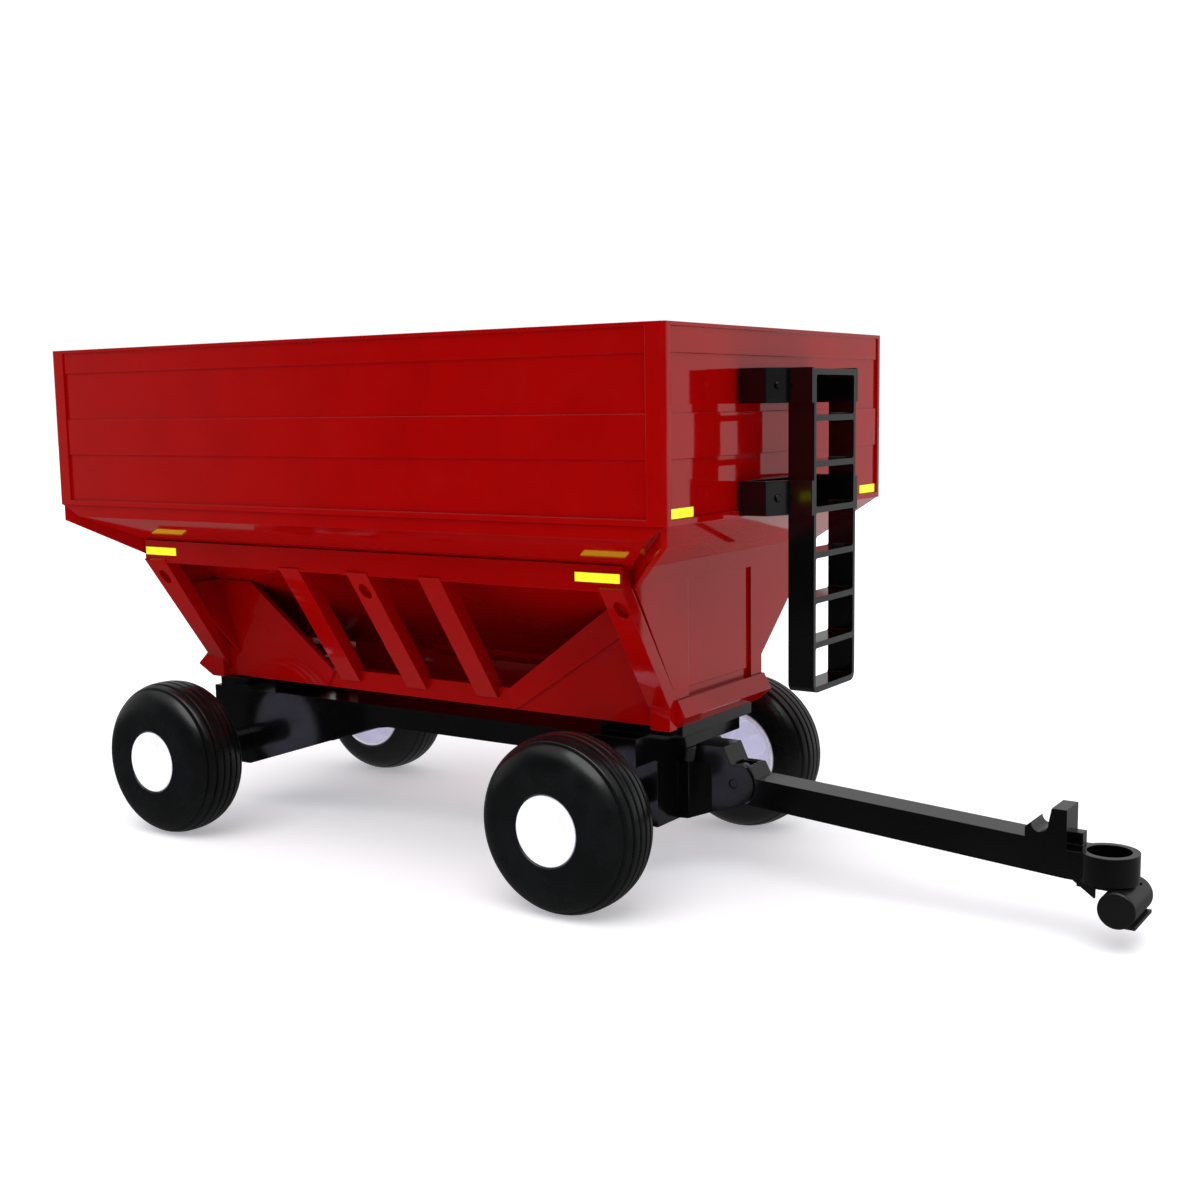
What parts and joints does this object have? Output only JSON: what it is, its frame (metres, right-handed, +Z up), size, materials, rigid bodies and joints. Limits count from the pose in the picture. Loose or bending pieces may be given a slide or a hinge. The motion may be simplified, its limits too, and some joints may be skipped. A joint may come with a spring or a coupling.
{
  "type": "toy gravity wagon",
  "caption": "Toy farm gravity wagon: open grain bin over a funnel hopper with a side door, on a four-wheel running gear with steered front axle and tilting tongue.",
  "frame": {"origin": "on the ground under the middle of the wagon's overall length and width", "axes": "+X forward to the hitch, +Y to the wagon's left (the discharge side), +Z up"},
  "size_m": [0.392, 0.152, 0.1858],
  "materials": {
    "red_plastic": "high-gloss moulded ABS",
    "black_plastic": "gloss moulded ABS",
    "adapter_plastic": "semi-gloss moulded ABS",
    "white_rim": "gloss moulded ABS",
    "tyre_rubber": "satin moulded PVC",
    "zinc_steel": "bright drawn rod",
    "yellow_film": "gloss adhesive film"
  },
  "bodies": {
    "wagon": {"bin_walls": "red_plastic", "hopper": "red_plastic", "side_frame_right": "red_plastic", "side_rails_left": "red_plastic", "front_cross_beam": "red_plastic", "rear_cross_beam": "red_plastic", "discharge_chute": "red_plastic", "door_guides": "red_plastic", "ladder": "black_plastic", "ladder_bracket_upper": "black_plastic", "ladder_bracket_lower": "black_plastic", "ladder_rivets": "black_plastic", "chassis_frame": "black_plastic", "rear_bolster": "black_plastic", "rear_axle_housing": "black_plastic", "front_bolster": "black_plastic", "rear_axle": "zinc_steel", "king_pin": "zinc_steel", "chassis_screws": "zinc_steel", "side_reflectors": "yellow_film", "front_reflectors": "yellow_film", "rear_reflectors": "yellow_film"},
    "discharge_door": {"discharge_door": "red_plastic"},
    "front_axle_carrier": {"front_axle_carrier": "black_plastic", "front_axle": "zinc_steel", "tongue_pin": "zinc_steel"},
    "tongue": {"tongue": "black_plastic", "hitch_eye": "black_plastic"},
    "hitch_adapter": {"hitch_adapter": "adapter_plastic"},
    "wheel_front_left": {"tyre_front_left": "tyre_rubber", "rim_front_left": "white_rim"},
    "wheel_front_right": {"tyre_front_right": "tyre_rubber", "rim_front_right": "white_rim"},
    "wheel_rear_left": {"tyre_rear_left": "tyre_rubber", "rim_rear_left": "white_rim"},
    "wheel_rear_right": {"tyre_rear_right": "tyre_rubber", "rim_rear_right": "white_rim"}
  },
  "joints": [
    {"name": "wheel_front_left_spin", "type": "hinge", "parent": "front_axle_carrier", "child": "wheel_front_left", "pos_m": [0.0305, 0.06065, 0.0294], "axis": [0, 1, 0], "continuous": true},
    {"name": "wheel_front_right_spin", "type": "hinge", "parent": "front_axle_carrier", "child": "wheel_front_right", "pos_m": [0.0305, -0.06065, 0.0294], "axis": [0, 1, 0], "continuous": true},
    {"name": "wheel_rear_left_spin", "type": "hinge", "parent": "wagon", "child": "wheel_rear_left", "pos_m": [-0.1552, 0.06065, 0.0294], "axis": [0, 1, 0], "continuous": true},
    {"name": "wheel_rear_right_spin", "type": "hinge", "parent": "wagon", "child": "wheel_rear_right", "pos_m": [-0.1552, -0.06065, 0.0294], "axis": [0, 1, 0], "continuous": true},
    {"name": "front_axle_steer", "type": "hinge", "parent": "wagon", "child": "front_axle_carrier", "pos_m": [0.0305, 0, 0.0384], "axis": [0, 0, 1], "range_deg": [-30, 30]},
    {"name": "tongue_tilt", "type": "hinge", "parent": "front_axle_carrier", "child": "tongue", "pos_m": [0.0614, 0, 0.0342], "axis": [0, 1, 0], "range_deg": [-35, 1]},
    {"name": "door_slide", "type": "slide", "parent": "wagon", "child": "discharge_door", "axis": [0, 0.7619, 0.6476], "range_m": [0, 0.014]},
    {"name": "adapter_lift_off", "type": "slide", "parent": "tongue", "child": "hitch_adapter", "axis": [0, 0, -1], "range_m": [0, 0.007]}
  ]
}
